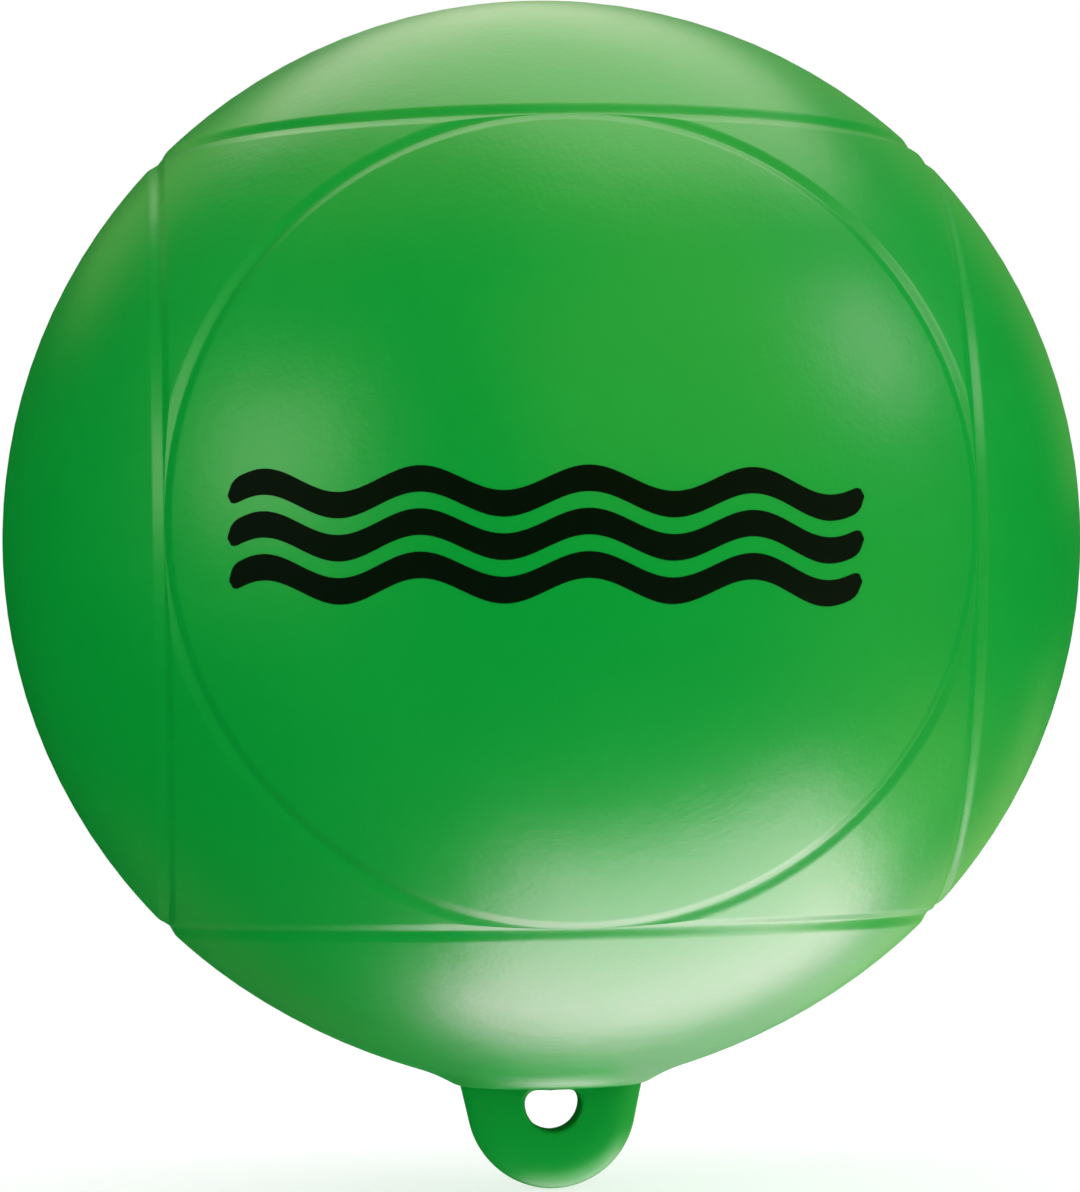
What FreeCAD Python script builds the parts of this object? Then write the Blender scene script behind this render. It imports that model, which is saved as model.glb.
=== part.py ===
"""Slalom buoy: an air-filled ball of soft PVC with a solid lug for its tether.

The ball is one rotationally moulded skin. Six ring grooves, one round each end of its three
axes, just touch their neighbours and so leave six disc panels and eight triangle panels. The
bottom is drawn out a little towards a flat lug with an eye, and the top holds a needle valve.
Millimetres, +Z up, origin at the centre of the ball, eye of the lug looking along Y.
"""
import FreeCAD, Part
import math
import os
import Sketcher

PARTS_FOLDER = "parts"
VECTOR = FreeCAD.Vector
UP = VECTOR(0, 0, 1)

doc = FreeCAD.newDocument("slalom_buoy")

# ---------------------------------------------------------------------------- driving sizes
SIZES = (
    ("ball_radius", 112.5, "outside radius of the inflated ball"),
    ("skin_wall", 2.5, "thickness of the moulded skin"),
    ("groove_width", 5.2, "width of a ring groove at the ball's surface"),
    ("groove_floor", 1.2, "width of the groove's floor"),
    ("groove_depth", 0.6, "depth of the groove below the ball's surface"),
    ("panel_angle", 45.0, "angle from a panel's axis to the middle of its groove"),
    ("draw_angle", 34.0, "angle from the bottom pole at which the skin starts to draw out"),
    ("draw_rise", 18.0, "what the drawn-out zone's radius has over the ball's"),
    ("pad_radius", 19.5, "radius of the flat pad round the bottom pole"),
    ("pad_flank", 5.5, "width of the slope between the pad and the drawn-out zone"),
    ("pad_stand", 1.3, "how far the pad stands out from the ball's radius"),
    ("lug_reach", 22.9, "how far the tip of the lug stands out from the ball's radius"),
    ("lug_radius", 17.6, "radius of the lug's round end"),
    ("lug_thickness", 12.0, "thickness of the lug"),
    ("lug_bevel", 2.9, "bevel of the lug's outer edges"),
    ("lug_flare", 12.5, "angle by which each side of the lug leans out towards its root"),
    ("socket_depth", 0.8, "how far inside the ball's radius the lug's root ends"),
    ("eye_radius", 5.9, "half the width of the eye, and the radius of its lower half"),
    ("eye_corner", 2.7, "radius of the upper corners of the eye"),
    ("eye_web", 12.1, "material between the eye and the tip of the lug"),
    ("eye_bevel", 0.8, "bevel of the eye's edges"),
    ("flange_radius", 8.5, "radius of the valve housing's flange"),
    ("flange_thickness", 1.0, "thickness of that flange"),
    ("neck_radius", 6.0, "outside radius of the valve housing's neck"),
    ("neck_length", 12.0, "length of the neck below the flange"),
    ("bore_radius", 3.0, "radius of the bore that holds the valve core"),
    ("key_radius", 4.2, "radius of the ring groove that keys the core in the bore"),
    ("key_height", 2.4, "height of that ring groove"),
    ("key_drop", 5.0, "from the seat of the core's head down to the ring groove"),
    ("head_radius", 4.6, "radius of the recess for the core's head"),
    ("head_depth", 1.4, "thickness of the core's head"),
    ("core_fit", 0.05, "clearance all round the core in its bore"),
    ("core_foot", 1.5, "how far the core's foot stops above the end of the bore"),
    ("dimple_radius", 1.3, "radius of the dimple that guides the inflation needle"),
    ("dimple_depth", 1.1, "depth of that dimple"),
)

sheet = doc.addObject("Spreadsheet::Sheet", "Sizes")
for row, (alias, amount, meaning) in enumerate(SIZES, start=1):
    sheet.set("A%d" % row, alias)
    sheet.set("B%d" % row, str(amount))
    sheet.set("C%d" % row, meaning)
    sheet.setAlias("B%d" % row, alias)
doc.recompute()

# Heights and radii that several pieces share, worked out from the driving sizes.
INNER_RADIUS = "(Sizes.ball_radius - Sizes.skin_wall)"
LUG_CENTRE = "(Sizes.lug_radius - Sizes.ball_radius - Sizes.lug_reach)"
EYE_CENTRE = "(Sizes.eye_web + Sizes.eye_radius - Sizes.ball_radius - Sizes.lug_reach)"
FLANGE_TOP = "sqrt(Sizes.ball_radius^2 - Sizes.flange_radius^2)"
FLANGE_SEAT = "(%s - Sizes.flange_thickness)" % FLANGE_TOP
HEAD_SEAT = "(%s - Sizes.head_depth)" % FLANGE_TOP
KEY_TOP = "(%s - Sizes.key_drop)" % HEAD_SEAT
NECK_END = "(%s - Sizes.neck_length)" % FLANGE_SEAT


def number(expression):
    """What an expression on the sheet comes to, as a plain number."""
    value = sheet.evalExpression(str(expression))
    return float(getattr(value, "Value", value))


class Loose(str):
    """An expression that only says where a point starts out."""


class Profile:
    """A closed outline in one of a body's origin planes, drawn point after point.

    Each coordinate is an expression on the sheet and becomes a dimension of the sketch. A
    coordinate wrapped in Loose is where the point starts out: the arcs through it place it.
    """

    START, END, CENTRE = range(1, 4)

    def __init__(self, body, name, role, x, y):
        self.sketch = body.newObject("Sketcher::SketchObject", name)
        plane = [item for item in body.Origin.OriginFeatures if item.Role == role][0]
        self.sketch.AttachmentSupport = [(plane, "")]
        self.sketch.MapMode = "FlatFace"
        self.first = None
        self.last = None
        self.start_at = (x, y)
        self.point = (number(x), number(y))

    def hold(self, kind, geometry, place, expression):
        """Dimension one coordinate, or a radius, by an expression on the sheet."""
        if isinstance(expression, Loose):
            return
        if kind == "Radius":
            constraint = Sketcher.Constraint(kind, geometry, number(expression))
        else:
            constraint = Sketcher.Constraint(kind, geometry, place, number(expression))
        index = self.sketch.addConstraint(constraint)
        self.sketch.setExpression("Constraints[%d]" % index, str(expression))

    def place(self, geometry, place, x, y):
        self.hold("DistanceX", geometry, place, x)
        self.hold("DistanceY", geometry, place, y)

    def join(self, geometry, begins, ends, x, y):
        """Tie a new stretch to the last one, and hold the point where it ends."""
        if self.last is None:
            self.first = (geometry, begins)
            self.place(geometry, begins, *self.start_at)
        else:
            joint = Sketcher.Constraint("Coincident", *self.last, geometry, begins)
            self.sketch.addConstraint(joint)
        self.last = (geometry, ends)
        self.point = (number(x), number(y))
        if x is self.start_at[0] and y is self.start_at[1]:
            closing = Sketcher.Constraint("Coincident", *self.last, *self.first)
            self.sketch.addConstraint(closing)
        else:
            self.place(geometry, ends, x, y)

    def line(self, x, y):
        edge = Part.LineSegment(VECTOR(*self.point, 0), VECTOR(number(x), number(y), 0))
        self.join(self.sketch.addGeometry(edge), self.START, self.END, x, y)

    def arc(self, x, y, centre, clockwise=False, radius=None):
        """An arc round a held centre; its radius follows from its ends unless it is given."""
        middle = (number(centre[0]), number(centre[1]))
        size = math.dist(self.point, middle)
        begin = math.atan2(self.point[1] - middle[1], self.point[0] - middle[0])
        end = math.atan2(number(y) - middle[1], number(x) - middle[0])
        if clockwise:
            begin, end = end, begin
        if end <= begin:
            end += 2 * math.pi
        circle = Part.Circle(VECTOR(*middle, 0), UP, size)
        geometry = self.sketch.addGeometry(Part.ArcOfCircle(circle, begin, end))
        self.place(geometry, self.CENTRE, *centre)
        if radius is not None:
            self.hold("Radius", geometry, None, radius)
        ends = (self.END, self.START) if clockwise else (self.START, self.END)
        self.join(geometry, *ends, x, y)

    def close(self):
        self.line(*self.start_at)


def revolved(body, profile):
    feature = body.newObject("PartDesign::Revolution", body.Name + "_turned")
    feature.Profile = profile.sketch
    feature.ReferenceAxis = (profile.sketch, ["V_Axis"])
    feature.Angle = 360
    profile.sketch.Visibility = False
    doc.recompute()
    return feature


def cut_through(body, profile, length):
    """A pocket that runs the same way to both sides of the profile's plane."""
    before = body.Shape.Volume
    feature = body.newObject("PartDesign::Pocket", profile.sketch.Name + "_cut")
    feature.Profile = profile.sketch
    feature.Midplane = True
    feature.setExpression("Length", length)
    profile.sketch.Visibility = False
    doc.recompute()
    if not body.Shape.Volume < before:
        raise RuntimeError(feature.Name + " cuts nothing")
    return feature


def bevelled(body, edges, size):
    """Bevel edges of the body's last feature, named by their place in its shape."""
    base = body.Tip
    names = ["Edge%d" % (index + 1) for index in edges]
    feature = body.newObject("PartDesign::Chamfer", base.Name + "_bevelled")
    feature.Base = (base, names)
    feature.setExpression("Size", size)
    doc.recompute()
    return feature


# ---------------------------------------------------------------------------- ball
# The skin without its grooves is one shell of revolution. Near the bottom pole its outside
# leaves the sphere along an arc of larger radius, and a slope leads to a flat pad for the lug.
ball_form = doc.addObject("PartDesign::Body", "ball_form")
draw_x = "(Sizes.draw_rise * sin(Sizes.draw_angle))"
draw_z = "(Sizes.draw_rise * cos(Sizes.draw_angle))"
draw_radius = "(Sizes.ball_radius + Sizes.draw_rise)"
pad_level = "(-Sizes.ball_radius - Sizes.pad_stand)"
flank_radius = "(Sizes.pad_radius + Sizes.pad_flank)"
flank_level = "({z} - sqrt({r}^2 - ({f} + {x})^2))".format(
    f=flank_radius, r=draw_radius, x=draw_x, z=draw_z)

shell = Profile(ball_form, "shell_section", "XZ_Plane", "0", pad_level)
shell.line("Sizes.pad_radius", pad_level)
shell.line(flank_radius, flank_level)
shell.arc("Sizes.ball_radius * sin(Sizes.draw_angle)",
          Loose("-Sizes.ball_radius * cos(Sizes.draw_angle)"), ("-" + draw_x, draw_z))
shell.arc("0", Loose("Sizes.ball_radius"), ("0", "0"))
shell.line("0", INNER_RADIUS)
shell.arc("0", Loose("-" + INNER_RADIUS), ("0", "0"), clockwise=True)
shell.close()
revolved(ball_form, shell)

# ---------------------------------------------------------------------------- ring grooves
# The bead that moulds one groove is a ring round a panel's axis, wider towards the outside.
# Where two rings touch, the plane at 45 degrees between their panels parts them, so that six
# trimmed rings make one network of beads with no doubled metal in it.
# It stands well proud of the ball, so that its sides cross the surface cleanly.
BEAD_STAND = "(2.5 * Sizes.groove_depth)"
BEAD_TOP = (
    "(Sizes.groove_floor / 2 + (Sizes.groove_width - Sizes.groove_floor) / 2"
    " * (Sizes.groove_depth + %s) / Sizes.groove_depth)" % BEAD_STAND
)
TRIM = "(2 * Sizes.ball_radius)"
bead_ring = doc.addObject("PartDesign::Body", "bead_ring")


def beside_panel_angle(radius, aside):
    """A point at the panel's angle and the given radius, moved aside at right angles to it."""
    along = "(%s) * sin(Sizes.panel_angle) + (%s) * cos(Sizes.panel_angle)" % (radius, aside)
    up = "(%s) * cos(Sizes.panel_angle) - (%s) * sin(Sizes.panel_angle)" % (radius, aside)
    return along, up


floor_radius = "Sizes.ball_radius - Sizes.groove_depth"
top_radius = "Sizes.ball_radius + " + BEAD_STAND
bead = Profile(bead_ring, "bead_section", "XZ_Plane",
               *beside_panel_angle(floor_radius, "-Sizes.groove_floor / 2"))
bead.line(*beside_panel_angle(floor_radius, "Sizes.groove_floor / 2"))
bead.line(*beside_panel_angle(top_radius, BEAD_TOP))
bead.line(*beside_panel_angle(top_radius, "-" + BEAD_TOP))
bead.close()
revolved(bead_ring, bead)
for role in ("XZ_Plane", "YZ_Plane"):
    trim = Profile(bead_ring, "trim_" + role[:2], role, "0", "0")
    trim.line(TRIM, TRIM)
    trim.line(TRIM, "-" + TRIM)
    trim.line("-" + TRIM, "-" + TRIM)
    trim.line("-" + TRIM, TRIM)
    trim.close()
    cut_through(bead_ring, trim, "2 * " + TRIM)

rings = [bead_ring]
for panel, axis, turn in (
    ("bottom", VECTOR(1, 0, 0), 180),
    ("front", VECTOR(1, 0, 0), 90),
    ("back", VECTOR(1, 0, 0), -90),
    ("right", VECTOR(0, 1, 0), 90),
    ("left", VECTOR(0, 1, 0), -90),
):
    ring = doc.addObject("App::Link", panel + "_ring")
    ring.LinkedObject = bead_ring
    ring.Placement = FreeCAD.Placement(VECTOR(), FreeCAD.Rotation(axis, turn))
    rings.append(ring)
bead_network = doc.addObject("Part::MultiFuse", "bead_network")
bead_network.Shapes = rings
doc.recompute()

# ---------------------------------------------------------------------------- tether lug
# A flat solid eye of the same PVC. Its sides lean out from its round end to a root that is
# let into the bottom of the skin and fused there.
tether_lug = doc.addObject("PartDesign::Body", "tether_lug")
SIDE_X = "(Sizes.lug_radius * cos(Sizes.lug_flare))"
SIDE_FOOT = "(%s - Sizes.lug_radius * sin(Sizes.lug_flare))" % LUG_CENTRE
ROOT_TOP = "(%s + Sizes.lug_radius)" % LUG_CENTRE
ROOT_X = "({x} + ({top} - {foot}) * tan(Sizes.lug_flare))".format(
    x=SIDE_X, top=ROOT_TOP, foot=SIDE_FOOT)

outline = Profile(tether_lug, "lug_outline", "XZ_Plane", "-" + SIDE_X, SIDE_FOOT)
outline.arc(Loose(SIDE_X), SIDE_FOOT, ("0", LUG_CENTRE))
outline.line(ROOT_X, ROOT_TOP)
outline.line("-" + ROOT_X, ROOT_TOP)
outline.close()
plate = tether_lug.newObject("PartDesign::Pad", "lug_plate")
plate.Profile = outline.sketch
plate.Midplane = True
plate.setExpression("Length", "Sizes.lug_thickness")
outline.sketch.Visibility = False
doc.recompute()


SAME_PLACE = 1e-6


def face_edges(shape, thickness, below):
    """The edges that lie in either flat face of the lug, all of them under one height."""
    found = []
    for index, edge in enumerate(shape.Edges):
        box = edge.BoundBox
        in_plane = box.YLength < SAME_PLACE
        on_face = abs(abs(box.YMin) - thickness / 2) < SAME_PLACE
        if in_plane and on_face and (box.ZMin + box.ZMax) / 2 < below - SAME_PLACE:
            found.append(index)
    return found


thickness = number("Sizes.lug_thickness")
perimeter = face_edges(plate.Shape, thickness, number(ROOT_TOP))
bevelled(tether_lug, perimeter, "Sizes.lug_bevel")

eye = Profile(tether_lug, "lug_eye", "XZ_Plane", "-Sizes.eye_radius", EYE_CENTRE)
EYE_FLAT = "(Sizes.eye_radius - Sizes.eye_corner)"
EYE_TOP = "(%s + Sizes.eye_corner)" % EYE_CENTRE
eye.arc(Loose("Sizes.eye_radius"), EYE_CENTRE, ("0", EYE_CENTRE))
eye.arc(EYE_FLAT, Loose(EYE_TOP), (EYE_FLAT, EYE_CENTRE))
eye.line("-" + EYE_FLAT, Loose(EYE_TOP))
eye.arc(*eye.start_at, ("-" + EYE_FLAT, EYE_CENTRE))
eye_cut = cut_through(tether_lug, eye, "2 * Sizes.lug_thickness")
eye_width = 2 * number("Sizes.eye_radius")
eye_rims = [
    index for index in face_edges(eye_cut.Shape, thickness, number(ROOT_TOP))
    if eye_cut.Shape.Edges[index].BoundBox.XLength <= eye_width + SAME_PLACE
    and abs(eye_cut.Shape.Edges[index].CenterOfMass.x) <= eye_width / 2
    and eye_cut.Shape.Edges[index].BoundBox.ZMin > number(EYE_CENTRE) - eye_width
]
bevelled(tether_lug, eye_rims, "Sizes.eye_bevel")

root_seat = tether_lug.newObject("PartDesign::SubtractiveCylinder", "root_seat")
root_seat.Placement = FreeCAD.Placement(VECTOR(), FreeCAD.Rotation(VECTOR(1, 0, 0), 90))
root_seat.setExpression(".Placement.Base.y", "Sizes.lug_thickness")
root_seat.setExpression("Height", "2 * Sizes.lug_thickness")
root_seat.setExpression("Radius", "Sizes.ball_radius - Sizes.socket_depth")
doc.recompute()

# ---------------------------------------------------------------------------- needle valve
# The housing is a collar of PVC let into the top of the skin, its flange flush with the ball.
# The core is a rubber plug keyed in its bore; a needle pushed in at the dimple parts it.
valve_housing = doc.addObject("PartDesign::Body", "valve_housing")
collar = Profile(valve_housing, "collar_section", "XZ_Plane", "Sizes.flange_radius", FLANGE_TOP)
collar.line("Sizes.head_radius", FLANGE_TOP)
collar.line("Sizes.head_radius", HEAD_SEAT)
collar.line("Sizes.bore_radius", HEAD_SEAT)
collar.line("Sizes.bore_radius", KEY_TOP)
collar.line("Sizes.key_radius", KEY_TOP)
collar.line("Sizes.key_radius", KEY_TOP + " - Sizes.key_height")
collar.line("Sizes.bore_radius", KEY_TOP + " - Sizes.key_height")
collar.line("Sizes.bore_radius", NECK_END)
collar.line("Sizes.neck_radius", NECK_END)
collar.line("Sizes.neck_radius", FLANGE_SEAT)
collar.line("Sizes.flange_radius", FLANGE_SEAT)
collar.close()
revolved(valve_housing, collar)

valve_core = doc.addObject("PartDesign::Body", "valve_core")
core_head = "(Sizes.head_radius - Sizes.core_fit)"
core_stem = "(Sizes.bore_radius - Sizes.core_fit)"
core_key = "(Sizes.key_radius - Sizes.core_fit)"
core_end = "(%s + Sizes.core_foot)" % NECK_END
plug = Profile(valve_core, "core_section", "XZ_Plane", core_head, FLANGE_TOP)
plug.line("Sizes.dimple_radius", FLANGE_TOP)
plug.line("0", FLANGE_TOP + " - Sizes.dimple_depth")
plug.line("0", core_end)
plug.line(core_stem, core_end)
plug.line(core_stem, KEY_TOP + " - Sizes.key_height + Sizes.core_fit")
plug.line(core_key, KEY_TOP + " - Sizes.key_height + Sizes.core_fit")
plug.line(core_key, KEY_TOP + " - Sizes.core_fit")
plug.line(core_stem, KEY_TOP + " - Sizes.core_fit")
plug.line(core_stem, HEAD_SEAT)
plug.line(core_head, HEAD_SEAT)
plug.close()
revolved(valve_core, plug)

# ---------------------------------------------------------------------------- skin, with its seats
valve_hole = doc.addObject("Part::Cylinder", "valve_hole")
valve_hole.setExpression("Radius", "Sizes.neck_radius")
valve_hole.setExpression("Height", "2 * Sizes.ball_radius")
flange_pocket = doc.addObject("Part::Cylinder", "flange_pocket")
flange_pocket.setExpression("Radius", "Sizes.flange_radius")
flange_pocket.setExpression("Height", "Sizes.ball_radius")
flange_pocket.setExpression(".Placement.Base.z", FLANGE_SEAT)
seats = doc.addObject("Part::MultiFuse", "seats")
seats.Shapes = [valve_hole, flange_pocket, tether_lug]
grooved_ball = doc.addObject("Part::Cut", "grooved_ball")
grooved_ball.Base = ball_form
grooved_ball.Tool = bead_network
ball_skin = doc.addObject("Part::Cut", "ball_skin")
ball_skin.Base = grooved_ball
ball_skin.Tool = seats
doc.recompute()

# ---------------------------------------------------------------------------- checks and files
for item in doc.Objects:
    if "Invalid" in item.State or "Error" in item.State:
        raise RuntimeError("%s is %s" % (item.Label, item.State))

os.makedirs(PARTS_FOLDER, exist_ok=True)
for piece in (ball_skin, tether_lug, valve_housing, valve_core):
    piece.Label = piece.Name
    shape = piece.Shape
    if shape.isNull() or not shape.isValid() or len(shape.Solids) != 1:
        raise RuntimeError(piece.Label + " is not one valid solid")
    shape.exportStep(os.path.join(PARTS_FOLDER, piece.Label + ".step"))
    print("%-14s %9.1f mm3" % (piece.Label, shape.Volume))
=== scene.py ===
import math

import bmesh
import bpy
from mathutils import Matrix, Vector


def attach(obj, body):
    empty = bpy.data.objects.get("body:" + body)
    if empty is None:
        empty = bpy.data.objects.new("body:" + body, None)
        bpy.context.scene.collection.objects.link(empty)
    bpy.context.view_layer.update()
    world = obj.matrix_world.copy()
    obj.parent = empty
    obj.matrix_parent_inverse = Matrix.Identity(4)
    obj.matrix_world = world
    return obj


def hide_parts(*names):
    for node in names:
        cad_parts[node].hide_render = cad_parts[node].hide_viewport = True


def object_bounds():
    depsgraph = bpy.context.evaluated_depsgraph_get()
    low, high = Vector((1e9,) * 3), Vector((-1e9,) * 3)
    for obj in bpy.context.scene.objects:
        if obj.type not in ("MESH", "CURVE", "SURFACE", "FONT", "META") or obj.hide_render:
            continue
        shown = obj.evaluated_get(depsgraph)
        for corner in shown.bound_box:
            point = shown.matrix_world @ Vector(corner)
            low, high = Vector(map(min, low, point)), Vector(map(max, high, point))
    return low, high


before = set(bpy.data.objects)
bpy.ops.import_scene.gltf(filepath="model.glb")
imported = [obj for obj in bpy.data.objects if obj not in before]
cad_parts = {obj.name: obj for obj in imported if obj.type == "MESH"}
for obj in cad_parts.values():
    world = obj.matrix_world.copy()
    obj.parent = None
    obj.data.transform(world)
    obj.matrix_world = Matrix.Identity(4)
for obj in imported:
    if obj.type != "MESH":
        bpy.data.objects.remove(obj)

cad_low, cad_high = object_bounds()

# ---------------------------------------------------------------------------- camera
# A long lens a metre from the buoy, a little to its left and just under the ball's middle,
# so that the whole ball and its lug fill the frame. It leans one degree.
CAMERA_TURN = math.radians(-4.6)
CAMERA_RISE = math.radians(-2.8)
CAMERA_LEAN = math.radians(-1.0)
CAMERA_DISTANCE = 1.015
CAMERA_LENS_MM = 146.05
AIM = Vector((-0.0005, 0.0, -0.0117))

lens = bpy.data.cameras.new("lens")
lens.lens = CAMERA_LENS_MM
camera = bpy.data.objects.new("camera", lens)
camera.location = CAMERA_DISTANCE * Vector((
    math.sin(CAMERA_TURN) * math.cos(CAMERA_RISE),
    -math.cos(CAMERA_TURN) * math.cos(CAMERA_RISE),
    math.sin(CAMERA_RISE),
))
facing = (AIM - camera.location).to_track_quat("-Z", "Y").to_matrix()
camera.rotation_euler = (facing @ Matrix.Rotation(CAMERA_LEAN, 3, "Z")).to_euler()
bpy.context.scene.collection.objects.link(camera)
bpy.context.scene.camera = camera
bpy.context.scene.view_settings.view_transform = "Standard"


# ---------------------------------------------------------------------------- studio
# A white table under the tip of the lug, and a tent of white sheets that lights it evenly.
# The gleams come from soft boxes: overhead, at the front and sides, one under the ball, and
# faint ones low down and behind that only edge its rim.
class Signal:
    """One socket of a shader tree. Sums and products of signals add Math nodes to the tree."""

    def __init__(self, tree, socket=None):
        self.tree = tree
        self.socket = socket

    def node(self, kind, settings=None, sockets=None, output=0):
        """Another node: its settings first, then the values or links of its sockets."""
        made = self.tree.nodes.new(kind)
        for name, value in (settings or {}).items():
            setattr(made, name, value)
        for name, value in (sockets or {}).items():
            if isinstance(value, Signal):
                self.tree.links.new(value.socket, made.inputs[name])
            else:
                made.inputs[name].default_value = value
        return Signal(self.tree, made.outputs[output]) if made.outputs else None

    def math(self, operation, first, second=0.0):
        return self.node("ShaderNodeMath", {"operation": operation}, {0: first, 1: second})

    def __add__(self, other):
        return self.math("ADD", self, other)

    def __radd__(self, other):
        return self.math("ADD", other, self)

    def __mul__(self, other):
        return self.math("MULTIPLY", self, other)

    def __rmul__(self, other):
        return self.math("MULTIPLY", other, self)


def empty_tree(owner):
    """The owner's shader tree, cleared, as a signal to build on."""
    owner.use_nodes = True
    owner.node_tree.nodes.clear()
    return Signal(owner.node_tree)


ROOM_WHITE = 1.0

room = bpy.data.worlds.new("white_room")
bpy.context.scene.world = room
tree = empty_tree(room)
seen_by_camera = tree.node("ShaderNodeLightPath", output="Is Camera Ray")
light = tree.node("ShaderNodeBackground", sockets={
    "Color": (1.0, 1.0, 1.0, 1.0), "Strength": seen_by_camera * ROOM_WHITE})
tree.node("ShaderNodeOutputWorld", sockets={"Surface": light})

TABLE_SIZE = 2.0
TABLE_WHITE = (0.45, 0.45, 0.45, 1.0)
TABLE_LIFT = 0.68
FADE_START = 0.35
FADE_END = 0.85

edge = TABLE_SIZE / 2
table_mesh = bpy.data.meshes.new("table")
table_mesh.from_pydata(
    [(-edge, -edge, cad_low.z), (edge, -edge, cad_low.z),
     (edge, edge, cad_low.z), (-edge, edge, cad_low.z)], [], [(0, 1, 2, 3)])
table = bpy.data.objects.new("table", table_mesh)
table.visible_shadow = False
table.visible_diffuse = False
table.visible_glossy = False
bpy.context.scene.collection.objects.link(table)

table_paint = bpy.data.materials.new("table_paint")
tree = empty_tree(table_paint)
matt = tree.node("ShaderNodeBsdfDiffuse", sockets={"Color": TABLE_WHITE})
lift = tree.node("ShaderNodeEmission", sockets={
    "Color": (1.0, 1.0, 1.0, 1.0), "Strength": TABLE_LIFT})
top_side = tree.node("ShaderNodeAddShader", sockets={0: matt, 1: lift})
clear = tree.node("ShaderNodeBsdfTransparent")
seen_from_below = tree.node("ShaderNodeNewGeometry", output="Backfacing")
place = tree.node("ShaderNodeTexCoord", output="Object")
away = tree.node("ShaderNodeVectorMath", {"operation": "LENGTH"}, {0: place}, output="Value")
faded = tree.node("ShaderNodeMapRange", {"interpolation_type": "SMOOTHSTEP"}, {
    "Value": away, "From Min": FADE_START, "From Max": FADE_END})
hidden = tree.math("MAXIMUM", seen_from_below, faded)
surface = tree.node("ShaderNodeMixShader", sockets={0: hidden, 1: top_side, 2: clear})
tree.node("ShaderNodeOutputMaterial", sockets={"Surface": surface})
table_mesh.materials.append(table_paint)


PLAIN = (1.0, 1.0, 1.0)
WARM = (1.0, 0.86, 0.74)
AMBER = (1.0, 0.62, 0.16)
ROSY = (1.0, 0.68, 0.86)
LIME = (0.75, 1.0, 0.35)


def soft_box(name, place, width, depth, brightness, tint=PLAIN, spin=0.0, form=True, gleam=True):
    """A soft box aimed at the ball, as bright as a lit white sheet times its brightness.

    Form is its light on matt surfaces, and gleam is its image in glossy ones.
    """
    lamp = bpy.data.lights.new(name, "AREA")
    lamp.shape = "RECTANGLE"
    lamp.size = width
    lamp.size_y = depth
    lamp.energy = brightness * math.pi * width * depth
    lamp.color = tint
    lamp.cycles.use_multiple_importance_sampling = gleam
    box = bpy.data.objects.new(name, lamp)
    box.location = place
    aimed = (-Vector(place)).to_track_quat("-Z", "Y").to_matrix()
    box.rotation_euler = (aimed @ Matrix.Rotation(math.radians(spin), 3, "Z")).to_euler()
    box.visible_camera = False
    box.visible_diffuse = form
    box.visible_glossy = gleam
    bpy.context.scene.collection.objects.link(box)


TENT = 1.2
for name, side, brightness in (
    ("front_sheet", (0, -TENT, 0), 1.20),
    ("right_sheet", (TENT, 0, 0), 1.42),
    ("left_sheet", (-TENT, 0, 0), 0.80),
    ("back_sheet", (0, TENT, 0), 0.80),
    ("top_sheet", (0, 0, TENT), 0.88),
    ("under_sheet", (0, 0, -TENT), 0.60),
):
    soft_box(name, side, 2 * TENT, 2 * TENT, brightness, gleam=False)
soft_box("overhead_box", (0.12, 0.38, 0.92), 1.35, 0.92, 2.15, WARM, spin=-35, form=False)
soft_box("ceiling_box", (-0.05, -0.15, 1.05), 1.50, 0.70, 0.36, AMBER, form=False)
soft_box("right_box", (0.93, -0.26, 0.52), 0.36, 0.36, 3.7, ROSY, form=False)
soft_box("left_box", (-0.97, -0.58, 0.28), 0.60, 0.46, 2.7, WARM, form=False)
soft_box("front_box", (0.42, -0.92, 0.55), 1.30, 1.00, 0.52, AMBER, form=False)
soft_box("low_right_box", (1.05, -0.35, -0.20), 0.90, 0.90, 0.20, AMBER, form=False)
soft_box("low_box", (0.145, 0.016, -0.45), 0.50, 0.50, 6.8, ROSY, form=False)
soft_box("low_side_box", (0.52, 0.05, -0.42), 0.40, 0.40, 0.8, LIME, form=False)
soft_box("low_rim_box", (0.54, 0.78, -0.34), 0.50, 0.40, 0.6, LIME, form=False)
soft_box("low_back_box", (0.30, 0.72, -0.50), 0.50, 0.36, 0.7, ROSY, form=False)
soft_box("low_left_box", (-0.36, 0.66, -0.52), 0.60, 0.36, 0.1, LIME, form=False)
soft_box("left_rim_box", (-0.50, 0.70, 0.56), 0.45, 0.45, 0.5, LIME, form=False)
soft_box("right_rim_box", (0.54, 0.84, 0.36), 0.50, 0.60, 0.3, LIME, form=False)

# ---------------------------------------------------------------------------- ball skin
# The air-filled ball: one seamless skin of soft PVC, turned in a hot mould whose beads leave
# six ring grooves. Each ring just touches its four neighbours. The bottom draws out a little
# to the pad that carries the lug, and the top has a stepped seat for the valve.
INK_FILM = 0.00002
BALL_RADIUS = cad_high.x - INK_FILM
INNER_RADIUS = BALL_RADIUS - 0.0025
GROOVE_HALF_WIDTH = 0.0026
GROOVE_DEPTH = 0.00063
RING_ANGLE = math.radians(45)
DRAW_ANGLE = math.radians(34)
DRAW_RISE = 0.018
PAD_RADIUS = 0.0195
PAD_FLANK = 0.0055
PAD_STAND = 0.0013
PAD_EASE = 0.0008
FLANGE_RADIUS = 0.0085
NECK_RADIUS = 0.006
FLANGE_THICKNESS = 0.001
SEAT_LIP = 0.0003
SEAT_APPROACH = 0.0015
BALL_DEEP = (0.0004, 0.275, 0.028, 1.0)
BALL_PALE = (0.003, 0.335, 0.036, 1.0)
CLOUD_SCALE = 22.0
MOTTLE_SCALE = 210.0
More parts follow.
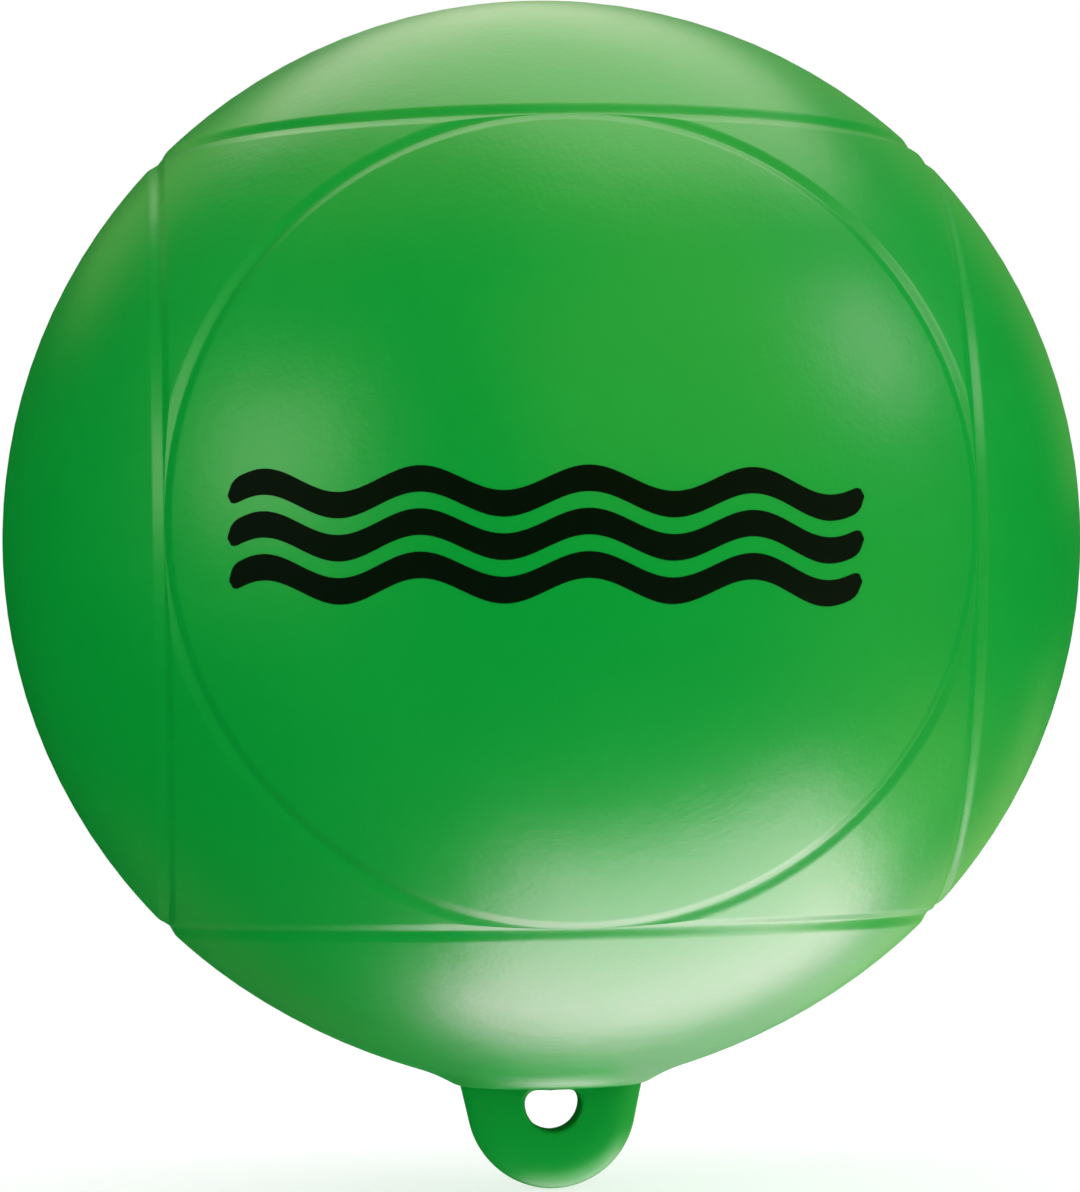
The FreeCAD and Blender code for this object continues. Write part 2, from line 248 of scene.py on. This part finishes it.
PEEL_SCALE = 900.0

draw_radius = BALL_RADIUS + DRAW_RISE
draw_centre = (-DRAW_RISE * math.sin(DRAW_ANGLE), DRAW_RISE * math.cos(DRAW_ANGLE))
pad_level = -BALL_RADIUS - PAD_STAND
flank_radius = PAD_RADIUS + PAD_FLANK
flank_level = draw_centre[1] - math.sqrt(draw_radius ** 2 - (flank_radius - draw_centre[0]) ** 2)
flank_slope = (flank_level - pad_level) / PAD_FLANK


def to_circle(across, up, centre, radius):
    """How far the ray from the ball's centre runs until it leaves a circle of the section."""
    along = across * centre[0] + up * centre[1]
    return along + math.sqrt(along ** 2 - centre[0] ** 2 - centre[1] ** 2 + radius ** 2)


def eased_less(first, second):
    """The smaller of two, with the corner between them eased."""
    share = max(PAD_EASE - abs(first - second), 0.0) / PAD_EASE
    return min(first, second) - share ** 2 * PAD_EASE / 4


def smooth_reach(direction):
    """The skin's outside along a direction, without its grooves."""
    across = math.hypot(direction.x, direction.y)
    if math.atan2(across, -direction.z) >= DRAW_ANGLE:
        return BALL_RADIUS
    drawn = to_circle(across, direction.z, draw_centre, draw_radius)
    pad = pad_level / direction.z
    flank = (pad_level - flank_slope * PAD_RADIUS) / (direction.z - flank_slope * across)
    return -eased_less(-drawn, -eased_less(pad, flank))


def groove_sink(aside):
    """Depth of a ring groove at a distance aside of its middle, with its walls eased."""
    share = max(1 - abs(aside) / GROOVE_HALF_WIDTH, 0.0)
    eased = share * share * (3 - 2 * share)
    return GROOVE_DEPTH * (0.5 * share + 0.5 * eased)


def woven(mesh, outer, inner):
    """Faces between two closed rows of points. The inner row may have half as many."""
    count = len(inner)
    for index in range(count):
        after = (index + 1) % count
        if len(outer) == count:
            corners = [(outer[index], outer[after], inner[after], inner[index])]
        else:
            near, middle, far = outer[2 * index], outer[2 * index + 1], outer[2 * after]
            corners = [(near, middle, inner[index]), (middle, inner[after], inner[index]),
                       (middle, far, inner[after])]
        for face in corners:
            mesh.faces.new(face)


def woven_rows(mesh, rows):
    for outer, inner in zip(rows, rows[1:]):
        woven(mesh, outer, inner)


def capped(mesh, row, tip):
    """Close a row of points to a single point."""
    for index, corner in enumerate(row):
        mesh.faces.new((corner, row[(index + 1) % len(row)], tip))


def finished_piece(mesh, name, material, sharp_over=50):
    """Turn worked mesh into a smooth-shaded piece of the buoy that rides on its body."""
    bmesh.ops.recalc_face_normals(mesh, faces=mesh.faces)
    data = bpy.data.meshes.new(name)
    mesh.to_mesh(data)
    mesh.free()
    data.shade_smooth()
    data.set_sharp_from_angle(angle=math.radians(sharp_over))
    data.materials.append(material)
    piece = bpy.data.objects.new(name, data)
    bpy.context.scene.collection.objects.link(piece)
    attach(piece, "root")
    return piece


RING_COLUMNS = 288
GROOVE_ROWS = (
    0.0, 0.00025, 0.0005, 0.0008, 0.0011, 0.0014, 0.0017, 0.002, 0.0023, 0.0026, 0.0029,
)
PANEL_ROWS = (
    (43.2, 288), (42.0, 288), (40.4, 144), (38.2, 144), (35.4, 144), (32.2, 144), (29.0, 72),
    (25.8, 72), (22.6, 72), (19.4, 72), (16.2, 72), (13.2, 36), (10.2, 36), (7.4, 36), (4.9, 18),
    (2.4, 18),
)
BOTTOM_ROWS = (
    (43.2, 288), (42.0, 288), (40.4, 144), (38.2, 144), (35.4, 144), (32.2, 144), (29.0, 144),
    (25.8, 144), (22.6, 144), (19.8, 144), (17.4, 144), (15.4, 144), (14.0, 144), (13.4, 144),
    (13.0, 144), (12.6, 144), (12.2, 144), (11.6, 144), (10.9, 144), (10.4, 144), (10.1, 144),
    (9.8, 144), (9.5, 144), (9.2, 144), (8.8, 144), (8.0, 72), (6.0, 36), (3.0, 36),
)
TRIANGLE_ROWS = 6
NO_ROOM = 0.00003
SAME_POINT = 0.000002


def panel_corner(turn):
    """Angle from a panel's axis to the plane halfway to its neighbour, at a turn round it."""
    return math.atan(1 / max(abs(math.cos(turn)), abs(math.sin(turn))))


def outward_offsets(turn):
    """Distances outside the groove's middle of the rows that reach to the neighbour's ground."""
    room_here = (panel_corner(turn) - RING_ANGLE) * BALL_RADIUS
    squeeze = min(1.0, 0.8 * room_here / GROOVE_ROWS[-1])
    offsets = [row * squeeze for row in GROOVE_ROWS[1:]]
    step = (room_here - offsets[-1]) / TRIANGLE_ROWS
    offsets += [offsets[-1] + step * count for count in range(1, TRIANGLE_ROWS + 1)]
    if room_here < NO_ROOM:
        offsets = [room_here] * len(offsets)
    return offsets


def ring_turns(count):
    return [2 * math.pi * index / count for index in range(count)]


def panel_point(axes, angle, turn):
    first, second, axis = axes
    radial = first * math.cos(turn) + second * math.sin(turn)
    direction = axis * math.cos(angle) + radial * math.sin(angle)
    sink = groove_sink((angle - RING_ANGLE) * BALL_RADIUS)
    return direction * (smooth_reach(direction) - sink)


def panel(mesh, axes, panel_rows=PANEL_ROWS, stop_angle=0.0):
    """One disc panel, its groove, and its share of the triangle panels round it."""
    columns = [outward_offsets(turn) for turn in ring_turns(RING_COLUMNS)]
    rows = []
    for row in reversed(range(len(columns[0]))):
        rows.append([
            mesh.verts.new(panel_point(axes, RING_ANGLE + column[row] / BALL_RADIUS, turn))
            for column, turn in zip(columns, ring_turns(RING_COLUMNS))])
    inward = [(math.degrees(RING_ANGLE - offset / BALL_RADIUS), RING_COLUMNS)
              for offset in GROOVE_ROWS]
    for degrees, count in (*inward, *panel_rows):
        if math.radians(degrees) > stop_angle:
            rows.append([mesh.verts.new(panel_point(axes, math.radians(degrees), turn))
                         for turn in ring_turns(count)])
    woven_rows(mesh, rows)
    return rows[-1]


def lathe_row(mesh, radius, height, count):
    return [mesh.verts.new((radius * math.cos(turn), radius * math.sin(turn), height))
            for turn in ring_turns(count)]


def on_ball(radius, across):
    return math.sqrt(radius ** 2 - across ** 2)


skin = bmesh.new()
X, Y, Z = Vector((1, 0, 0)), Vector((0, 1, 0)), Vector((0, 0, 1))
for axes in ((Y, Z, X), (Z, Y, -X), (Z, X, Y), (X, Z, -Y), (Y, X, -Z)):
    axis = axes[2]
    last = panel(skin, axes, BOTTOM_ROWS if axis.z < 0 else PANEL_ROWS)
    capped(skin, last, skin.verts.new(axis * smooth_reach(axis)))

SEAT_COLUMNS = 36
SEAT_ANGLE = math.radians(5.5)
rim_height = on_ball(BALL_RADIUS, FLANGE_RADIUS)
seat_height = rim_height - FLANGE_THICKNESS
last = panel(skin, (X, Y, Z), stop_angle=SEAT_ANGLE)
seat = [last]
for across in (FLANGE_RADIUS + SEAT_APPROACH, FLANGE_RADIUS + SEAT_LIP):
    seat.append(lathe_row(skin, across, on_ball(BALL_RADIUS, across), SEAT_COLUMNS))
seat.append(lathe_row(skin, FLANGE_RADIUS + 0.3 * SEAT_LIP, rim_height - 0.1 * SEAT_LIP,
                      SEAT_COLUMNS))
seat.append(lathe_row(skin, FLANGE_RADIUS, rim_height - 0.6 * SEAT_LIP, SEAT_COLUMNS))
seat.append(lathe_row(skin, FLANGE_RADIUS, seat_height, SEAT_COLUMNS))
seat.append(lathe_row(skin, NECK_RADIUS, seat_height, SEAT_COLUMNS))
start = math.asin(NECK_RADIUS / INNER_RADIUS)
INNER_ROWS = 36
for count in range(INNER_ROWS):
    angle = start + (math.pi - start) * count / INNER_ROWS
    seat.append(lathe_row(skin, INNER_RADIUS * math.sin(angle), INNER_RADIUS * math.cos(angle),
                          SEAT_COLUMNS))
woven_rows(skin, seat)
capped(skin, seat[-1], skin.verts.new((0, 0, -INNER_RADIUS)))
bmesh.ops.remove_doubles(skin, verts=skin.verts, dist=SAME_POINT)


def soft_vinyl(name, deep, pale, roughness=0.27, gloss_index=1.62):
    """Satin PVC straight from the mould: even colour in faint clouds, and a fine skin."""
    material = bpy.data.materials.new(name)
    tree = empty_tree(material)
    place = tree.node("ShaderNodeTexCoord", output="Object")
    clouds = tree.node("ShaderNodeTexNoise", {"noise_dimensions": "3D"}, {
        "Vector": place, "Scale": CLOUD_SCALE, "Detail": 3.0, "Roughness": 0.55})
    mottle = tree.node("ShaderNodeTexNoise", {"noise_dimensions": "3D"}, {
        "Vector": place, "Scale": MOTTLE_SCALE, "Detail": 4.0, "Roughness": 0.6})
    peel = tree.node("ShaderNodeTexNoise", {"noise_dimensions": "3D"}, {
        "Vector": place, "Scale": PEEL_SCALE, "Detail": 2.0, "Roughness": 0.5})
    colour = tree.node("ShaderNodeMix", {"data_type": "RGBA"}, {
        0: clouds * 0.7 + mottle * 0.3, 6: deep, 7: pale}, output=2)
    height = peel * 0.5 + mottle * 1.5 + clouds * 4.0
    relief = tree.node("ShaderNodeBump", sockets={
        "Strength": 0.5, "Distance": 0.0001, "Height": height})
    surface = tree.node("ShaderNodeBsdfPrincipled", sockets={
        "Base Color": colour, "Roughness": roughness + clouds * 0.10 + mottle * 0.06,
        "IOR": gloss_index, "Normal": relief})
    tree.node("ShaderNodeOutputMaterial", sockets={"Surface": surface})
    return material


green_vinyl = soft_vinyl("green_vinyl", BALL_DEEP, BALL_PALE)
ball = finished_piece(skin, "ball", green_vinyl)
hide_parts("ball_skin")

# ---------------------------------------------------------------------------- tether lug
# The flat eye that takes the anchor line: a solid tab of the same PVC, moulded with the
# bottom of the ball. Its edges are well rounded, and its sides lean out towards the root.
LUG_RADIUS = 0.0176
LUG_FLARE = math.radians(12.5)
LUG_HALF_THICKNESS = 0.006
LUG_EDGE = 0.0080
LUG_EDGE_FALL = 0.0050
ROOT_SEAT = BALL_RADIUS - 0.0008
EYE_RADIUS = 0.0059
EYE_CORNER = 0.0027
EYE_WEB = 0.0121
EYE_EDGE = 0.001
EYE_EDGE_FALL = 0.001
LUG_COLUMNS = 288
FACE_ROWS = 6
PAST_EYE = 0.010
PAST_LUG = 0.040
# The lug's two tones are a little darker than the ball's green: painted shade from the ball
# above it, on the same PVC.
LUG_SHADED_DEEP = (0.0003, 0.245, 0.024, 1.0)
LUG_SHADED_PALE = (0.002, 0.295, 0.031, 1.0)
LUG_ROUGHNESS = 0.34
LUG_GLOSS_INDEX = 1.43

lug_centre = cad_low.z + LUG_RADIUS
eye_centre = cad_low.z + EYE_WEB + EYE_RADIUS


def from_side(x, z):
    """Distance inwards from the lug's round end, or from the side that leans out above it."""
    x = abs(x)
    if math.atan2(z - lug_centre, x) < -LUG_FLARE:
        return LUG_RADIUS - math.hypot(x, z - lug_centre)
    return LUG_RADIUS - x * math.cos(LUG_FLARE) + (z - lug_centre) * math.sin(LUG_FLARE)


def from_outline(x, z):
    return min(from_side(x, z), math.hypot(x, z) - ROOT_SEAT)


def from_eye(x, z):
    """Distance outwards from the eye, which is round below and has a flat top."""
    if z < eye_centre:
        return math.hypot(x, z - eye_centre) - EYE_RADIUS
    beyond_corner = max(abs(x) - (EYE_RADIUS - EYE_CORNER), 0.0)
    return math.hypot(beyond_corner, z - eye_centre) - EYE_CORNER


def edge_along(turn, reading, near, far):
    """How far from the eye's middle a reading changes its sign, by halving."""
    rising = reading(*lug_place(turn, near)) < reading(*lug_place(turn, far))
    for _ in range(40):
        middle = (near + far) / 2
        if (reading(*lug_place(turn, middle)) < 0) == rising:
            near = middle
        else:
            far = middle
    return (near + far) / 2


def lug_place(turn, distance):
    return distance * math.sin(turn), eye_centre - distance * math.cos(turn)


def rounding(depth, reach, fall):
    """How far a rounded edge has fallen away from the flat face, at a depth inside it."""
    share = min(max(1 - depth / reach, 0.0), 1.0)
    return fall * (1 - math.sqrt(1 - share ** 2))


EDGE_STEPS = [1 - math.cos(math.radians(angle)) for angle in range(0, 91, 10)]
lug = bmesh.new()
columns = []
for turn in ring_turns(LUG_COLUMNS):
    eye_wall = edge_along(turn, from_eye, 0.0, PAST_EYE)
    outside = edge_along(turn, from_outline, eye_wall, PAST_LUG)
    web = outside - eye_wall
    eye_span = min(1.1 * EYE_EDGE, 0.3 * web)
    rim_span = min(1.1 * LUG_EDGE, 0.6 * web)
    flat_span = web - eye_span - rim_span
    marks = [eye_wall + eye_span * step for step in EDGE_STEPS]
    marks += [marks[-1] + flat_span * count / FACE_ROWS for count in range(1, FACE_ROWS)]
    marks += [outside - rim_span * step for step in reversed(EDGE_STEPS)]
    columns.append([lug_place(turn, mark) for mark in marks])

sides = []
for side in (-1, 1):
    rows = []
    for row in range(len(columns[0])):
        points = []
        for column in columns:
            x, z = column[row]
            fall = rounding(from_side(x, z), LUG_EDGE, LUG_EDGE_FALL)
            fall += rounding(from_eye(x, z), EYE_EDGE, EYE_EDGE_FALL)
            points.append(lug.verts.new((x, side * (LUG_HALF_THICKNESS - fall), z)))
        rows.append(points)
    woven_rows(lug, rows)
    sides.append(rows)
woven(lug, sides[0][0], sides[1][0])
woven(lug, sides[0][-1], sides[1][-1])
# The lug's vinyl is the ball's PVC made duller, with painted shade in its darker colour.
lug_vinyl = soft_vinyl("lug_vinyl", LUG_SHADED_DEEP, LUG_SHADED_PALE, LUG_ROUGHNESS, LUG_GLOSS_INDEX)
lug_piece = finished_piece(lug, "lug", lug_vinyl)
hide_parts("tether_lug")

# ---------------------------------------------------------------------------- valve housing
# A collar of firmer PVC, welded into the top of the skin with its flange flush. Its bore is
# keyed to hold the rubber core.
VALVE_COLUMNS = 72
HEAD_RADIUS = 0.0046
HEAD_DEPTH = 0.0014
BORE_RADIUS = 0.003
KEY_RADIUS = 0.0042
KEY_HEIGHT = 0.0024
KEY_DROP = 0.005
NECK_LENGTH = 0.012
SEAT_GAP = 0.00006
VALVE_EDGE = 0.0003
VALVE_DEEP = (0.001, 0.205, 0.022, 1.0)
VALVE_PALE = (0.005, 0.250, 0.030, 1.0)

head_seat = rim_height - HEAD_DEPTH
key_top = head_seat - KEY_DROP
neck_end = seat_height - NECK_LENGTH


def softened(corners, radius):
    """The closed outline with each corner eased into a short curve of four points."""
    outline = []
    for index, corner in enumerate(corners):
        before = Vector(corners[index - 1]) - Vector(corner)
        after = Vector(corners[(index + 1) % len(corners)]) - Vector(corner)
        start = Vector(corner) + before.normalized() * min(radius, before.length * 0.4)
        end = Vector(corner) + after.normalized() * min(radius, after.length * 0.4)
        for share in (0.0, 0.33, 0.67, 1.0):
            bend = start.lerp(Vector(corner), share).lerp(Vector(corner).lerp(end, share), share)
            outline.append(bend)
    return outline


def turned(mesh, outline):
    """A ring turned from a closed outline that stays clear of the axis."""
    rows = [lathe_row(mesh, point.x, point.y, VALVE_COLUMNS) for point in outline]
    woven_rows(mesh, rows + rows[:1])


housing = bmesh.new()
turned(housing, softened([
    (FLANGE_RADIUS - SEAT_GAP, rim_height),
    (HEAD_RADIUS, rim_height),
    (HEAD_RADIUS, head_seat),
    (BORE_RADIUS, head_seat),
    (BORE_RADIUS, key_top),
    (KEY_RADIUS, key_top),
    (KEY_RADIUS, key_top - KEY_HEIGHT),
    (BORE_RADIUS, key_top - KEY_HEIGHT),
    (BORE_RADIUS, neck_end),
    (NECK_RADIUS - SEAT_GAP, neck_end),
    (NECK_RADIUS - SEAT_GAP, seat_height + SEAT_GAP),
    (FLANGE_RADIUS - SEAT_GAP, seat_height + SEAT_GAP),
], VALVE_EDGE))
valve_vinyl = soft_vinyl("valve_vinyl", VALVE_DEEP, VALVE_PALE)
collar = finished_piece(housing, "valve_collar", valve_vinyl)
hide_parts("valve_housing")

# ---------------------------------------------------------------------------- valve core
# The self-closing plug of black rubber, pushed into the collar's bore. A dimple in its head
# guides the needle of the pump.
CORE_FIT = 0.00005
CORE_FOOT = 0.0015
DIMPLE_RADIUS = 0.0013
DIMPLE_DEPTH = 0.0011

core = bmesh.new()
core_corners = [
    (BORE_RADIUS - CORE_FIT, neck_end + CORE_FOOT),
    (BORE_RADIUS - CORE_FIT, key_top - KEY_HEIGHT + CORE_FIT),
    (KEY_RADIUS - CORE_FIT, key_top - KEY_HEIGHT + CORE_FIT),
    (KEY_RADIUS - CORE_FIT, key_top - CORE_FIT),
    (BORE_RADIUS - CORE_FIT, key_top - CORE_FIT),
    (BORE_RADIUS - CORE_FIT, head_seat),
    (HEAD_RADIUS - CORE_FIT, head_seat),
    (HEAD_RADIUS - CORE_FIT, rim_height),
    (DIMPLE_RADIUS, rim_height),
    (0.3 * DIMPLE_RADIUS, rim_height - 0.8 * DIMPLE_DEPTH),
    (0.2 * DIMPLE_RADIUS, rim_height - DIMPLE_DEPTH),
    (0.2 * DIMPLE_RADIUS, neck_end + CORE_FOOT),
]
outline = softened(core_corners, VALVE_EDGE)[:-4]
rows = [lathe_row(core, point.x, point.y, VALVE_COLUMNS) for point in outline]
woven_rows(core, rows)
capped(core, rows[0], core.verts.new((0, 0, neck_end + CORE_FOOT)))
capped(core, rows[-1], core.verts.new((0, 0, rim_height - DIMPLE_DEPTH)))

core_rubber = bpy.data.materials.new("core_rubber")
tree = empty_tree(core_rubber)
place = tree.node("ShaderNodeTexCoord", output="Object")
bloom = tree.node("ShaderNodeTexNoise", {"noise_dimensions": "3D"}, {
    "Vector": place, "Scale": 600.0, "Detail": 4.0, "Roughness": 0.6})
colour = tree.node("ShaderNodeMix", {"data_type": "RGBA"}, {
    0: bloom, 6: (0.018, 0.018, 0.018, 1.0), 7: (0.045, 0.045, 0.045, 1.0)}, output=2)
relief = tree.node("ShaderNodeBump", sockets={
    "Strength": 0.5, "Distance": 0.0001, "Height": bloom})
surface = tree.node("ShaderNodeBsdfPrincipled", sockets={
    "Base Color": colour, "Roughness": 0.50 + bloom * 0.25, "IOR": 1.52, "Normal": relief})
tree.node("ShaderNodeOutputMaterial", sockets={"Surface": surface})
plug = finished_piece(core, "valve_plug", core_rubber)
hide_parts("valve_core")

# ---------------------------------------------------------------------------- print
# Three plain waves pad-printed in black across the front panel, just under the ball's middle.
# The ink is a film two hundredths of a millimetre thick that lies on the skin.
PRINT_TURN = math.radians(-4.05)
PRINT_LEVEL = -0.0043
PRINT_HALF_LENGTH = 0.0640
PRINT_TILT = math.radians(-1.0)
WAVE_PITCH = 0.0081
WAVE_BAND = 0.0050
WAVE_HEIGHT = 0.0024
WAVE_LENGTH = 0.0320
WAVE_STEPS = 160
BAND_STEPS = 4
FILM_ROOT = 0.0001
BLUNT_END = 0.0002


def printed_point(along, up, lift):
    """A place of the flat print laid on the ball's front."""
    level = PRINT_LEVEL + up * math.cos(PRINT_TILT) + along * math.sin(PRINT_TILT)
    turn = PRINT_TURN + (along * math.cos(PRINT_TILT) - up * math.sin(PRINT_TILT)) / BALL_RADIUS
    across = on_ball(BALL_RADIUS, level)
    direction = Vector((math.sin(turn) * across, -math.cos(turn) * across, level)).normalized()
    return direction * (BALL_RADIUS + lift)


waves = bmesh.new()
for middle in (-WAVE_PITCH, 0.0, WAVE_PITCH):
    grid = []
    for step in range(WAVE_STEPS + 1):
        along = PRINT_HALF_LENGTH * (2 * step / WAVE_STEPS - 1)
        crest = middle + WAVE_HEIGHT * math.sin(2 * math.pi * along / WAVE_LENGTH)
        from_end = min(PRINT_HALF_LENGTH - abs(along), WAVE_BAND / 2)
        half = math.sqrt((WAVE_BAND / 2) ** 2 - (WAVE_BAND / 2 - from_end) ** 2)
        half = max(half, BLUNT_END)
        column = [printed_point(along, crest + half * (2 * row / BAND_STEPS - 1), INK_FILM)
                  for row in range(BAND_STEPS + 1)]
        column.append(printed_point(along, crest + half, -FILM_ROOT))
        column.append(printed_point(along, crest - half, -FILM_ROOT))
        grid.append([waves.verts.new(point) for point in column])
    woven_rows(waves, grid)
    waves.faces.new(grid[0])
    waves.faces.new(grid[-1])

print_ink = bpy.data.materials.new("print_ink")
tree = empty_tree(print_ink)
place = tree.node("ShaderNodeTexCoord", output="Object")
grain = tree.node("ShaderNodeTexNoise", {"noise_dimensions": "3D"}, {
    "Vector": place, "Scale": 450.0, "Detail": 4.0, "Roughness": 0.6})
colour = tree.node("ShaderNodeMix", {"data_type": "RGBA"}, {
    0: grain, 6: (0.0001, 0.0030, 0.0006, 1.0), 7: (0.0003, 0.0055, 0.0012, 1.0)}, output=2)
relief = tree.node("ShaderNodeBump", sockets={
    "Strength": 0.3, "Distance": 0.00003, "Height": grain})
surface = tree.node("ShaderNodeBsdfPrincipled", sockets={
    "Base Color": colour, "Roughness": 0.55 + grain * 0.12, "IOR": 1.22, "Normal": relief})
tree.node("ShaderNodeOutputMaterial", sockets={"Surface": surface})
finished_piece(waves, "wave_print", print_ink)
